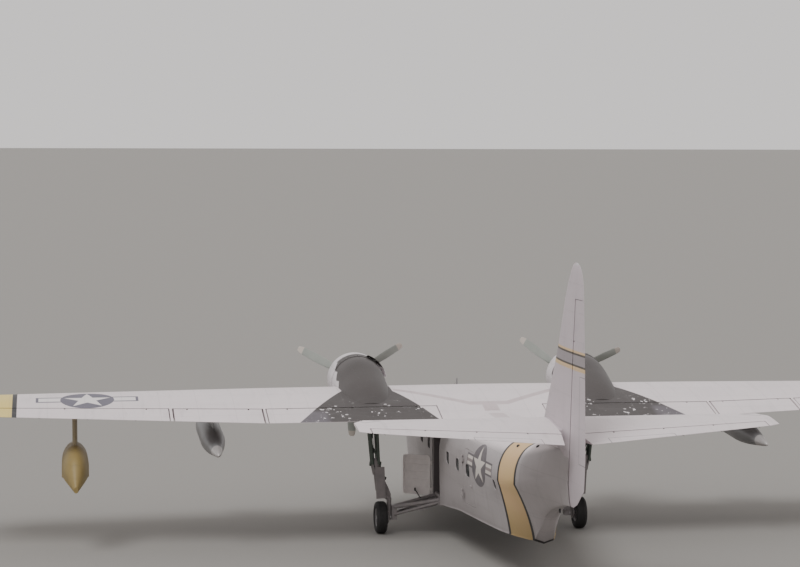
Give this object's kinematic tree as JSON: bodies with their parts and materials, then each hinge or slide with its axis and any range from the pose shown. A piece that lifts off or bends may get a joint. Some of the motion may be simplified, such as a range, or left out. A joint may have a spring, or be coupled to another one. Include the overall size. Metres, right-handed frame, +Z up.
{
  "type": "twin-engine amphibious military transport plane",
  "caption": "High-wing flying boat on wheels, with radial engines on the wing, wing floats, drop tanks, a tall fin and a hollow cabin.",
  "frame": {"origin": "ground point under the middle of the plane's bounding box", "axes": "+X forward towards the nose, +Y to the left along the span, +Z up"},
  "size_m": [19.15, 29.46, 7.88],
  "materials": {
    "hull_paint": "matte",
    "wing_paint": "matte",
    "nacelle_paint": "matte",
    "cowl_paint": "satin",
    "float_paint": "matte",
    "tank_metal": "satin",
    "propeller_paint": "satin",
    "radome_black": "satin",
    "tyre_rubber": "matte",
    "gear_paint": "satin",
    "engine_metal": "satin",
    "window_glass": "gloss",
    "panel_black": "matte",
    "seat_cloth": "matte",
    "floor_board": "matte"
  },
  "bodies": {
    "root": {"bow": "hull_paint", "cabin_floor": "floor_board", "cabin_roof": "hull_paint", "cabin_wall_left": "hull_paint", "cabin_wall_right": "hull_paint", "cockpit_bulkhead": "hull_paint", "cockpit_glazing": "window_glass", "cockpit_shell": "hull_paint", "cowl_left": "cowl_paint", "cowl_right": "cowl_paint", "engine_left": "engine_metal", "engine_right": "engine_metal", "fin": "wing_paint", "float_left": "float_paint", "float_right": "float_paint", "gear_frame_left": "gear_paint", "gear_frame_right": "gear_paint", "gear_leg_left": "gear_paint", "gear_leg_right": "gear_paint", "hull_bottom": "hull_paint", "instrument_panel": "panel_black", "nacelle_left": "nacelle_paint", "nacelle_right": "nacelle_paint", "nose_leg": "gear_paint", "nose_radome": "radome_black", "pilot_seat_left": "seat_cloth", "pilot_seat_right": "seat_cloth", "tail_cone": "hull_paint", "tailplane_left": "wing_paint", "tailplane_right": "wing_paint", "tank_left": "tank_metal", "tank_right": "tank_metal", "well_door_left": "hull_paint", "well_door_right": "hull_paint", "wing_centre": "wing_paint", "wing_outer_left": "wing_paint", "wing_outer_right": "wing_paint"},
    "propeller_left": {"propeller_left": "propeller_paint"},
    "propeller_right": {"propeller_right": "propeller_paint"},
    "main_wheel_left": {"wheel_left": "tyre_rubber"},
    "main_wheel_right": {"wheel_right": "tyre_rubber"},
    "nose_steering": {"nose_fork": "gear_paint"},
    "nose_wheels": {"nose_wheel_left": "tyre_rubber", "nose_wheel_right": "tyre_rubber"},
    "rudder": {"rudder": "wing_paint"},
    "elevator_left": {"elevator_left": "wing_paint"},
    "elevator_right": {"elevator_right": "wing_paint"},
    "aileron_left": {"aileron_left": "wing_paint"},
    "aileron_right": {"aileron_right": "wing_paint"},
    "flap_inner_left": {"flap_inner_left": "wing_paint"},
    "flap_inner_right": {"flap_inner_right": "wing_paint"},
    "flap_outer_left": {"flap_outer_left": "wing_paint"},
    "flap_outer_right": {"flap_outer_right": "wing_paint"},
    "cabin_door": {"cabin_door": "hull_paint"}
  },
  "joints": [
    {"name": "propeller_left_spin", "type": "hinge", "parent": "root", "child": "propeller_left", "pos_m": [4.775, 3.08, 3.81], "axis": [1, 0, 0], "continuous": true},
    {"name": "propeller_right_spin", "type": "hinge", "parent": "root", "child": "propeller_right", "pos_m": [4.775, -3.08, 3.81], "axis": [1, 0, 0], "continuous": true},
    {"name": "wheel_left_spin", "type": "hinge", "parent": "root", "child": "main_wheel_left", "pos_m": [1.675, 2.7, 0.425], "axis": [0, 1, 0], "continuous": true},
    {"name": "wheel_right_spin", "type": "hinge", "parent": "root", "child": "main_wheel_right", "pos_m": [1.675, -2.7, 0.425], "axis": [0, 1, 0], "continuous": true},
    {"name": "nose_steer", "type": "hinge", "parent": "root", "child": "nose_steering", "pos_m": [6.795, 0, 0.8], "axis": [0, 0, 1], "range_deg": [-45, 45]},
    {"name": "nose_wheels_spin", "type": "hinge", "parent": "nose_steering", "child": "nose_wheels", "pos_m": [6.795, 0, 0.33], "axis": [0, 1, 0], "continuous": true},
    {"name": "rudder_swing", "type": "hinge", "parent": "root", "child": "rudder", "pos_m": [-8.425, 0, 2.5], "axis": [-0.078, 0, 0.997], "range_deg": [-20, 20]},
    {"name": "elevator_left_swing", "type": "hinge", "parent": "root", "child": "elevator_left", "pos_m": [-8.25122, 0.215, 3.99111], "axis": [-0.0005, 0.9982, 0.0598], "range_deg": [-18, 25]},
    {"name": "elevator_right_swing", "type": "hinge", "parent": "root", "child": "elevator_right", "pos_m": [-8.25122, -0.215, 3.99111], "axis": [0.0005, 0.9982, -0.0598], "range_deg": [-18, 25]},
    {"name": "aileron_left_swing", "type": "hinge", "parent": "root", "child": "aileron_left", "pos_m": [0.7264, 8.35, 3.42137], "axis": [0.0659, 0.9976, 0.0213], "range_deg": [-20, 20]},
    {"name": "aileron_right_swing", "type": "hinge", "parent": "root", "child": "aileron_right", "pos_m": [0.7264, -8.35, 3.42137], "axis": [-0.0659, 0.9976, -0.0213], "range_deg": [-20, 20]},
    {"name": "flap_inner_left_drop", "type": "hinge", "parent": "root", "child": "flap_inner_left", "pos_m": [0.56455, 1.42, 3.36914], "axis": [0, -1, 0], "range_deg": [0, 40]},
    {"name": "flap_inner_right_drop", "type": "hinge", "parent": "root", "child": "flap_inner_right", "pos_m": [0.56455, -1.42, 3.36914], "axis": [0, -1, 0], "range_deg": [0, 40]},
    {"name": "flap_outer_left_drop", "type": "hinge", "parent": "root", "child": "flap_outer_left", "pos_m": [0.56951, 5.975, 3.37074], "axis": [-0.0659, -0.9976, -0.0213], "range_deg": [0, 40]},
    {"name": "flap_outer_right_drop", "type": "hinge", "parent": "root", "child": "flap_outer_right", "pos_m": [0.56951, -5.975, 3.37074], "axis": [0.0659, -0.9976, 0.0213], "range_deg": [0, 40]},
    {"name": "cabin_door_swing", "type": "hinge", "parent": "root", "child": "cabin_door", "pos_m": [-1.835, 1.19454, 2.1], "axis": [0, 0, -1], "range_deg": [0, 100]}
  ],
  "couplings": [
    {"joint": "elevator_right_swing", "follows": "elevator_left_swing", "ratio": 1},
    {"joint": "aileron_right_swing", "follows": "aileron_left_swing", "ratio": -1},
    {"joint": "flap_inner_right_drop", "follows": "flap_inner_left_drop", "ratio": 1},
    {"joint": "flap_outer_left_drop", "follows": "flap_inner_left_drop", "ratio": 1},
    {"joint": "flap_outer_right_drop", "follows": "flap_inner_left_drop", "ratio": 1}
  ]
}
